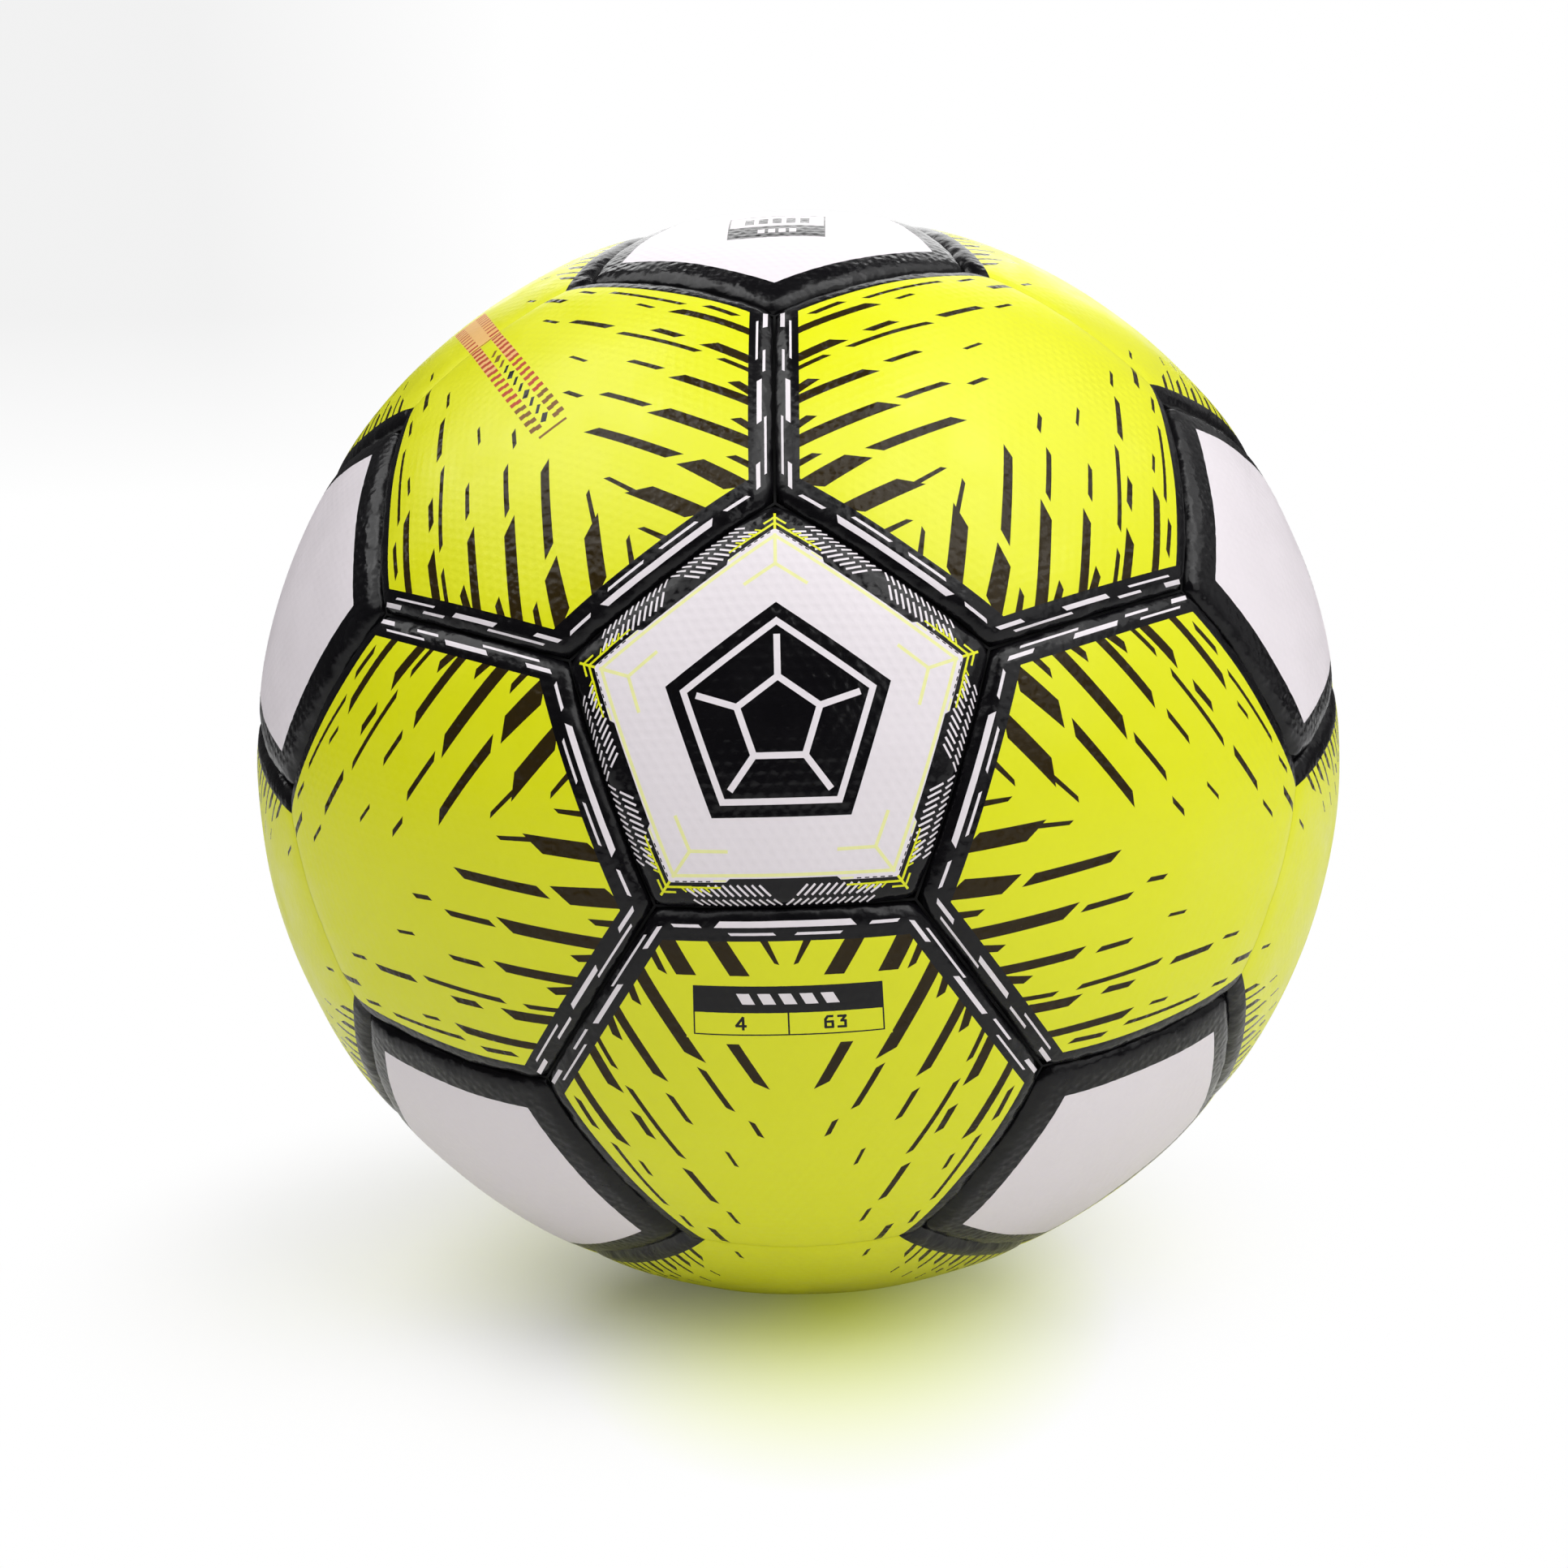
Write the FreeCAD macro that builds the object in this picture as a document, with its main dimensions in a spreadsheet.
import FreeCAD, Part
import Sketcher
import os
from math import sin, cos, pi, radians

# Soccer ball, size 4 (630 mm round), 32 bonded panels over a wound, rubber
# coated bladder. Millimetres, +Z up, origin at the ball's centre. The
# decorated pentagon looks towards -Y and is tipped up by pole_tilt.
#
# Layers from the outside in: PU cover panels with turned-down edges, foam
# pads, backing fabric, seam adhesive between the panels, rubber carcass
# coat, thread winding, bladder and bounce-damping foam liner. The valve
# (housing, reinforcement patch, removable core) passes through them.

os.makedirs("parts", exist_ok=True)
doc = FreeCAD.newDocument("soccer_ball")
V = FreeCAD.Vector

# ---------------------------------------------------------------- dimensions
# Alias, value or formula, note. Radii of layers, and heights along a panel's
# or the valve's axis, are measured from the ball's centre.
DIMENSIONS = [
    ("ball_radius", 100.27, "outer radius, 630 mm round"),
    ("pole_tilt", 9.5, "degrees, decorated pentagon up from -Y"),
    ("layer_clearance", 0.05, "between layers"),
    # panel cones
    ("hexagon_slope", 0.441058, "hexagon corner radius per unit height"),
    ("pentagon_slope", 0.365488, "pentagon corner radius per unit height"),
    ("hexagon_side_angle", 20.905, "degrees, side plane off the axis"),
    ("pentagon_side_angle", 16.473, "degrees, side plane off the axis"),
    ("cone_low", 84.0, "height of the lower polygon of each cone"),
    ("cone_high", 112.0, "height of the upper polygon of each cone"),
    # cover panels
    ("seam_half_gap", 0.25, "half the gap between two panels"),
    ("skin_thickness", 1.0, "PU face"),
    ("edge_wall", 1.8, "turned-down edge of a panel"),
    ("rim_radius", 1.9, "rolled edge of a panel"),
    ("panel_corner_radius", 1.4, "corner of a panel"),
    ("panel_depth", 5.07, "face to the foot of the turned-down edge"),
    ("cover_foot", "=ball_radius - panel_depth", "foot of the turned-down edge"),
    ("hollow_inset", "=seam_half_gap + edge_wall", "hollow of a panel, from the seam"),
    ("hollow_outer", "=ball_radius - skin_thickness", "underside of the PU face"),
    ("hollow_inner", "=cover_foot - 2", "hollow's cutter, past the foot"),
    # foam pads and backing fabric
    ("pad_inset", "=hollow_inset + layer_clearance", "pad and fabric, from the seam"),
    ("pad_thickness", 3.0, "foam pad"),
    ("pad_outer", "=hollow_outer - layer_clearance", "foam pad, outer radius"),
    ("pad_inner", "=pad_outer - pad_thickness", "foam pad, inner radius"),
    ("cloth_outer", "=pad_inner - layer_clearance", "backing fabric, outer radius"),
    # seam adhesive
    ("glue_half_gap", 0.20, "half the thickness of the seam adhesive"),
    ("glue_depth", 2.8, "height of the adhesive lattice"),
    ("glue_outer", "=cover_foot + glue_depth", "adhesive lattice, outer radius"),
    # whole-ball layers
    ("carcass_outer", "=cover_foot - layer_clearance", "rubber coat, outer radius"),
    ("carcass_inner", 94.20, "rubber coat, inner radius"),
    ("winding_outer", "=carcass_inner - layer_clearance", "thread winding, outer radius"),
    ("winding_inner", 93.25, "thread winding, inner radius"),
    ("bladder_outer", "=winding_inner - layer_clearance", "bladder, outer radius"),
    ("bladder_inner", 92.00, "bladder, inner radius"),
    ("liner_outer", 91.90, "damping foam, outer radius"),
    ("liner_inner", 84.00, "damping foam, inner radius"),
    ("liner_hole_radius", 15.0, "opening in the damping foam at the valve"),
    ("valve_hole_radius", 4.60, "opening in the other layers at the valve"),
    ("winding_hole_radius", 14.0, "opening in the winding at the patch"),
    ("patch_radius", 13.8, "valve reinforcement patch"),
    # valve housing
    ("stem_radius", 4.50, "valve housing stem"),
    ("stem_top", 99.90, "valve housing, outer end"),
    ("stem_bottom", 76.0, "valve housing, inner end"),
    ("stem_chamfer", 0.4, "bevel at the stem's outer end"),
    ("stem_chamfer_foot", "=stem_top - stem_chamfer", "height where the bevel starts"),
    ("stem_top_radius", "=stem_radius - stem_chamfer", "stem's outer end, in the bevel"),
    ("flange_radius", 13.0, "valve housing flange"),
    ("flange_rim_top", 90.95, "flange top at its rim"),
    ("flange_root_top", 91.85, "flange top at the stem"),
    ("flange_rim_low", 90.30, "flange underside at its rim"),
    ("flange_root_low", 90.10, "flange underside at the stem"),
    # valve core
    ("core_bore_radius", 3.05, "bore for the valve core"),
    ("core_radius", "=core_bore_radius - layer_clearance", "valve core"),
    ("core_axis", 0.0, "radius of the valve's centre line"),
    ("core_top", 99.60, "valve core, mouth"),
    ("core_chamfer", 0.3, "bevel at the core's mouth"),
    ("core_chamfer_foot", "=core_top - core_chamfer", "height where the bevel starts"),
    ("core_top_radius", "=core_radius - core_chamfer", "core's mouth, in the bevel"),
    ("core_shoulder", 82.0, "start of the core's tapered lip"),
    ("core_tip", 77.5, "inner end of the core"),
    ("core_tip_radius", 2.0, "core at its inner end"),
    ("needle_radius", 1.00, "needle channel"),
    ("needle_floor", 91.0, "needle channel, inner end"),
    ("needle_lead", 0.60, "lead-in of the needle channel"),
    ("needle_mouth_radius", "=needle_radius + needle_lead", "lead-in at the mouth"),
    ("needle_lead_foot", "=core_top - needle_lead", "inner end of the lead-in"),
    ("slit_width", 2.4, "closing slit, long way"),
    ("slit_gap", 0.20, "closing slit, narrow way"),
]

sheet = doc.addObject("Spreadsheet::Sheet", "Dims")
sheet.Label = "Dims"
for row, (alias, value, note) in enumerate(DIMENSIONS, start=1):
    sheet.set("A%d" % row, note)
    sheet.set("B%d" % row, str(value))
    sheet.setAlias("B%d" % row, alias)
doc.recompute()


def dim(alias):
    return float(sheet.get(alias))


def bind(obj, prop, alias):
    obj.setExpression(prop, "Dims." + alias)


# ---------------------------------------------------------------- panel layout
TILT = radians(dim("pole_tilt"))

# Rings of five panels: name, degrees from the decorated pole, first phi.
PENTAGON_RING = 63.43495
HEXAGON_RING_FRONT, HEXAGON_MID_FRONT = 37.37737, 79.18768
PENTAGON_RINGS = [
    ("pentagon_cover_ring_front", PENTAGON_RING, 0.0),
    ("pentagon_cover_ring_back", 180.0 - PENTAGON_RING, 36.0),
]
HEXAGON_RINGS = [
    ("hexagon_cover_ring_front", HEXAGON_RING_FRONT, 36.0),
    ("hexagon_cover_mid_front", HEXAGON_MID_FRONT, 36.0),
    ("hexagon_cover_mid_back", 180.0 - HEXAGON_MID_FRONT, 0.0),
    ("hexagon_cover_ring_back", 180.0 - HEXAGON_RING_FRONT, 0.0),
]
VALVE_PANEL = "hexagon_cover_mid_front_5"


def direction(theta, phi):
    """Unit vector at theta from the decorated pole, phi clockwise from up
    as seen from -Y."""
    theta, phi = radians(theta), radians(phi)
    x, y, z = sin(theta) * sin(phi), -cos(theta), sin(theta) * cos(phi)
    return V(x, y * cos(TILT) + z * sin(TILT), -y * sin(TILT) + z * cos(TILT))


def ring_directions(rings):
    return {"%s_%d" % (name, k + 1): direction(theta, first_phi + 72.0 * k)
            for name, theta, first_phi in rings for k in range(5)}


pentagon_directions = {"pentagon_cover_front": direction(0.0, 0.0)}
pentagon_directions.update(ring_directions(PENTAGON_RINGS))
pentagon_directions["pentagon_cover_back"] = direction(180.0, 0.0)
hexagon_directions = ring_directions(HEXAGON_RINGS)


def pentagons_by_distance(normal):
    return sorted(pentagon_directions.values(), key=lambda other: -other.dot(normal))


def tangents(normal, toward):
    """Unit tangent at normal that points toward, and the one 90 degrees on."""
    along = toward - normal * toward.dot(normal)
    along.normalize()
    return along, normal.cross(along)


def panel_placement(normal, edge_side, sides):
    """Placement whose Z is the panel's normal and whose +X points to a
    corner. edge_side is a direction that crosses the middle of one edge."""
    n = V(normal).normalize()
    along, across = tangents(n, edge_side)
    half = pi / sides
    u = along * cos(half) + across * sin(half)
    v = n.cross(u)
    return FreeCAD.Placement(FreeCAD.Matrix(
        u.x, v.x, n.x, 0,
        u.y, v.y, n.y, 0,
        u.z, v.z, n.z, 0,
        0, 0, 0, 1))


def pentagon_placement(normal):
    # A corner points at the neighbouring pentagon, so the middle of an edge
    # is half a side further round. Entry 0 is the pentagon itself.
    along, across = tangents(normal, pentagons_by_distance(normal)[1])
    edge_side = along * cos(pi / 5) + across * sin(pi / 5)
    return panel_placement(normal, edge_side, 5)


def hexagon_placement(normal):
    return panel_placement(normal, pentagons_by_distance(normal)[0], 6)


pentagon_places = {name: pentagon_placement(normal)
                   for name, normal in pentagon_directions.items()}
hexagon_places = {name: hexagon_placement(normal)
                  for name, normal in hexagon_directions.items()}
valve_place = hexagon_places[VALVE_PANEL]
plain_hexagon_places = {name: place for name, place in hexagon_places.items()
                        if name != VALVE_PANEL}

# ---------------------------------------------------------------- builders
# Sizes are passed as sheet aliases.
SIDES = {"hexagon": 6, "pentagon": 5}

# Sphere poles: along X, away from the panel being cut, and for whole-ball
# shells turned about a skew axis.
PANEL_TURN = FreeCAD.Placement(V(0, 0, 0), FreeCAD.Rotation(V(0, 1, 0), 90))
BALL_TURN = FreeCAD.Placement(V(0, 0, 0), FreeCAD.Rotation(V(1, 0.3, 0.2), 77))

# Cylinders along a panel's axis: height of the base and length.
COVER_SPAN = (60.0, 50.0)
LAYER_SPAN = (70.0, 40.0)

parts = []          # exported objects, in file order


def keep(obj, label):
    obj.Label = label
    parts.append(obj)
    return obj


def cone(name, kind, inset):
    """Pyramid slice whose side planes run to the ball's centre, each moved
    inwards by inset."""
    sides = SIDES[kind]
    rings = []
    for tag in ("low", "high"):
        polygon = doc.addObject("Part::RegularPolygon", "%s_%s" % (name, tag))
        polygon.Polygon = sides
        polygon.setExpression(
            "Circumradius",
            "Dims.cone_%s * Dims.%s_slope"
            " - (Dims.%s) / (cos(Dims.%s_side_angle * 1 deg) * cos(180 deg / %d))"
            % (tag, kind, inset, kind, sides))
        bind(polygon, "Placement.Base.z", "cone_" + tag)
        rings.append(polygon)
    loft = doc.addObject("Part::Loft", name)
    loft.Sections = rings
    loft.Solid = True
    loft.Ruled = True
    return loft


def sphere(name, radius, turn):
    ball = doc.addObject("Part::Sphere", name)
    bind(ball, "Radius", radius)
    ball.Placement = turn
    return ball


def cylinder(name, radius, span, place=FreeCAD.Placement()):
    """Cylinder along the Z axis of place, over span."""
    base, length = span
    rod = doc.addObject("Part::Cylinder", name)
    bind(rod, "Radius", radius)
    rod.Height = length
    rod.Placement = place.multiply(FreeCAD.Placement(V(0, 0, base), FreeCAD.Rotation()))
    return rod


def boolean(kind, name, base, tool):
    result = doc.addObject("Part::" + kind, name)
    result.Base = base
    result.Tool = tool
    return result


def shell(name, outer, inner, turn=PANEL_TURN):
    return boolean("Cut", name, sphere(name + "_outer", outer, turn),
                   sphere(name + "_inner", inner, turn))


def slice_of(name, kind, inset, outer, inner):
    """The part of a spherical shell inside a panel's cone."""
    return boolean("Common", name, cone(name + "_cone", kind, inset),
                   shell(name + "_shell", outer, inner))


def compound(name, members):
    result = doc.addObject("Part::Compound", name)
    result.Links = members
    return result


def instance(name, master, place):
    copy = compound(name, [master])
    copy.Placement = place
    return copy


def instances(name, master, places):
    return [instance("%s_%02d" % (name, i), master, place)
            for i, place in enumerate(places.values(), start=1)]


# ---------------------------------------------------------------- panel masters
RIM_TOLERANCE = 0.4     # how far below the ball's surface a rim vertex may lie
CORNER_MIN_DROP = 2.0   # least change of radius along a corner edge


def rolled(name, base):
    """Round the corners and the outer rim of a panel blank."""
    doc.recompute()
    rim_limit = dim("ball_radius") - RIM_TOLERANCE
    corner_radius, rim_radius = dim("panel_corner_radius"), dim("rim_radius")
    corners, rim = [], []
    for i, edge in enumerate(base.Shape.Edges, start=1):
        start = edge.Vertexes[0].Point.Length
        end = edge.Vertexes[-1].Point.Length
        if start > rim_limit and end > rim_limit:
            rim.append((i, rim_radius, rim_radius))
        elif abs(start - end) > CORNER_MIN_DROP:
            corners.append((i, corner_radius, corner_radius))
    fillet = doc.addObject("Part::Fillet", name)
    fillet.Base = base
    fillet.Edges = corners + rim
    doc.recompute()
    # Guards against corner and rim fillets that fail where they meet.
    if fillet.Shape.isNull() or not fillet.Shape.isValid():
        fillet.Edges = rim
        doc.recompute()
    return fillet


def skin_master(kind):
    """PU face with its turned-down edge."""
    blank = slice_of(kind + "_blank", kind, "seam_half_gap", "ball_radius", "cover_foot")
    body = rolled(kind + "_rolled", blank)
    hollow = slice_of(kind + "_hollow", kind, "hollow_inset", "hollow_outer", "hollow_inner")
    return boolean("Cut", kind + "_skin", body, hollow)


def with_valve_hole(layer, master):
    return boolean("Cut", "hexagon_%s_with_hole" % layer, master,
                   cylinder(layer + "_hole", "valve_hole_radius", COVER_SPAN))


masters = {"skin": {}, "pad": {}, "cloth": {}}
for kind in SIDES:
    masters["skin"][kind] = skin_master(kind)
    masters["pad"][kind] = slice_of(kind + "_pad", kind, "pad_inset",
                                    "pad_outer", "pad_inner")
    masters["cloth"][kind] = slice_of(kind + "_cloth", kind, "pad_inset",
                                      "cloth_outer", "cover_foot")
valve_masters = {layer: with_valve_hole(layer, kinds["hexagon"])
                 for layer, kinds in masters.items()}
doc.recompute()


# ---------------------------------------------------------------- cover layers
def cover_panels():
    for name, place in pentagon_places.items():
        keep(instance(name, masters["skin"]["pentagon"], place), name)
    for name, place in hexagon_places.items():
        master = valve_masters["skin"] if name == VALVE_PANEL else masters["skin"]["hexagon"]
        keep(instance(name, master, place), name)


def panel_lining(layer, label):
    """One lining piece under every panel; the valve panel's is separate."""
    for kind, places in (("pentagon", pentagon_places), ("hexagon", plain_hexagon_places)):
        name = "%s_%ss" % (kind, label)
        keep(compound(name, instances(name, masters[layer][kind], places)), name)
    name = "valve_panel_" + label
    keep(instance(name, valve_masters[layer], valve_place), name)


def seam_adhesive():
    """A spherical shell less all 32 panel cones: the lattice of bonding
    strips under the seams."""
    cones = []
    for kind, places in (("pentagon", pentagon_places), ("hexagon", hexagon_places)):
        name = kind + "_glue_cone"
        cones += instances(name, cone(name, kind, "glue_half_gap"), places)
    tool = compound("glue_tool", cones)
    lattice = shell("glue_shell", "glue_outer", "cover_foot", BALL_TURN)
    keep(boolean("Cut", "seam_adhesive_cut", lattice, tool), "seam_adhesive")


cover_panels()
panel_lining("pad", "foam_pad")
panel_lining("cloth", "backing_fabric")
seam_adhesive()


# ---------------------------------------------------------------- inner layers
def ball_layer(label, size, hole_radius):
    """Whole-ball shell with an opening at the valve."""
    tool = cylinder(label + "_hole", hole_radius, LAYER_SPAN, valve_place)
    wall = shell(label + "_shell", size + "_outer", size + "_inner", BALL_TURN)
    keep(boolean("Cut", label + "_body", wall, tool), label)


def reinforcement_patch():
    """Fills the opening in the winding, round the valve's stem."""
    disc = boolean("Common", "patch_disc",
                   shell("patch_shell", "winding_outer", "winding_inner"),
                   cylinder("patch_outline", "patch_radius", LAYER_SPAN))
    ring = boolean("Cut", "patch_ring", disc,
                   cylinder("patch_hole", "valve_hole_radius", COVER_SPAN))
    keep(instance("patch_placed", ring, valve_place), "valve_reinforcement_patch")


ball_layer("carcass_rubber_coat", "carcass", "valve_hole_radius")
ball_layer("thread_winding", "winding", "winding_hole_radius")
ball_layer("bladder", "bladder", "valve_hole_radius")
ball_layer("bounce_damping_liner", "liner", "liner_hole_radius")
reinforcement_patch()

# ---------------------------------------------------------------- valve
# Half sections: radius and height of each corner, as sheet aliases.
HOUSING_PROFILE = [
    ("core_bore_radius", "stem_bottom"),
    ("stem_radius", "stem_bottom"),
    ("stem_radius", "flange_root_low"),
    ("flange_radius", "flange_rim_low"),
    ("flange_radius", "flange_rim_top"),
    ("stem_radius", "flange_root_top"),
    ("stem_radius", "stem_chamfer_foot"),
    ("stem_top_radius", "stem_top"),
    ("core_bore_radius", "stem_top"),
]
CORE_PROFILE = [
    ("core_axis", "core_tip"),
    ("core_tip_radius", "core_tip"),
    ("core_radius", "core_shoulder"),
    ("core_radius", "core_chamfer_foot"),
    ("core_top_radius", "core_top"),
    ("needle_mouth_radius", "core_top"),
    ("needle_radius", "needle_lead_foot"),
    ("needle_radius", "needle_floor"),
    ("core_axis", "needle_floor"),
]


def origin_feature(body, role):
    for feature in body.Origin.OriginFeatures:
        if feature.Role == role:
            return feature
    raise RuntimeError("no " + role)


def sketch_on(body, name, plane, points):
    """Sketch of a closed polygon whose corners are joined."""
    sketch = body.newObject("Sketcher::SketchObject", name)
    sketch.AttachmentSupport = [(origin_feature(body, plane), "")]
    sketch.MapMode = "FlatFace"
    count = len(points)
    for i in range(count):
        start, end = points[i], points[(i + 1) % count]
        sketch.addGeometry(Part.LineSegment(V(*start, 0), V(*end, 0)), False)
    for i in range(count):
        sketch.addConstraint(Sketcher.Constraint("Coincident", i, 2, (i + 1) % count, 1))
    return sketch


def constrain(sketch, name, alias, kind, *ends):
    """Distance constraint between ends, driven by the sheet."""
    index = sketch.addConstraint(Sketcher.Constraint(kind, *ends, dim(alias)))
    sketch.renameConstraint(index, name)
    bind(sketch, "Constraints." + name, alias)


def revolved(label, profile):
    """Body turned about its Z axis from a half section."""
    body = doc.addObject("PartDesign::Body", label + "_part")
    points = [(dim(radius), dim(height)) for radius, height in profile]
    sketch = sketch_on(body, label + "_profile", "XZ_Plane", points)
    for i, (radius, height) in enumerate(profile):
        constrain(sketch, "c%d_r" % i, radius, "DistanceX", -1, 1, i, 1)
        constrain(sketch, "c%d_z" % i, height, "DistanceY", -1, 1, i, 1)
    doc.recompute()
    turned = body.newObject("PartDesign::Revolution", label + "_turned")
    turned.Profile = sketch
    turned.ReferenceAxis = (origin_feature(body, "Z_Axis"), [""])
    turned.Angle = 360.0
    body.Tip = turned
    doc.recompute()
    return keep(body, label)


def cut_slit(core):
    """Closing slit: a thin flat cut from the inner tip up to the channel."""
    volume_left = core.Shape.Volume - 1.0   # the slit takes more than 1 mm3
    x, y = dim("slit_width") / 2, dim("slit_gap") / 2
    sketch = sketch_on(core, "slit_profile", "XY_Plane", [(-x, -y), (x, -y), (x, y), (-x, y)])
    sketch.setExpression("AttachmentOffset.Base.z", "Dims.core_tip")
    for i, kind in enumerate(("Horizontal", "Vertical", "Horizontal", "Vertical")):
        sketch.addConstraint(Sketcher.Constraint(kind, i))
    sketch.addConstraint(Sketcher.Constraint("Symmetric", 0, 1, 2, 1, -1, 1))
    constrain(sketch, "slit_long", "slit_width", "DistanceX", 0, 1, 0, 2)
    constrain(sketch, "slit_narrow", "slit_gap", "DistanceY", 1, 1, 1, 2)
    doc.recompute()
    slit = core.newObject("PartDesign::Pocket", "slit")
    slit.Profile = sketch
    slit.Type = "Length"
    slit.setExpression("Length", "Dims.needle_floor - Dims.core_tip")
    slit.Reversed = True
    core.Tip = slit
    doc.recompute()
    # Guards against the pocket running away from the core.
    if core.Shape.Volume > volume_left:
        slit.Reversed = False
        doc.recompute()
    if core.Shape.Volume > volume_left:
        raise RuntimeError("the slit cut nothing")


housing = revolved("valve_housing", HOUSING_PROFILE)
core = revolved("valve_core", CORE_PROFILE)
cut_slit(core)
housing.Placement = valve_place
core.Placement = valve_place
doc.recompute()

# ---------------------------------------------------------------- export
failed = [obj.Name for obj in doc.Objects if "Invalid" in obj.State or "Error" in obj.State]
if failed:
    raise RuntimeError("failed objects: %s" % ", ".join(failed))
for obj in parts:
    shape = obj.Shape
    if shape.isNull() or not shape.isValid() or not shape.Solids:
        raise RuntimeError("bad shape: " + obj.Label)

for obj in parts:
    obj.Shape.exportStep("parts/%s.step" % obj.Label)
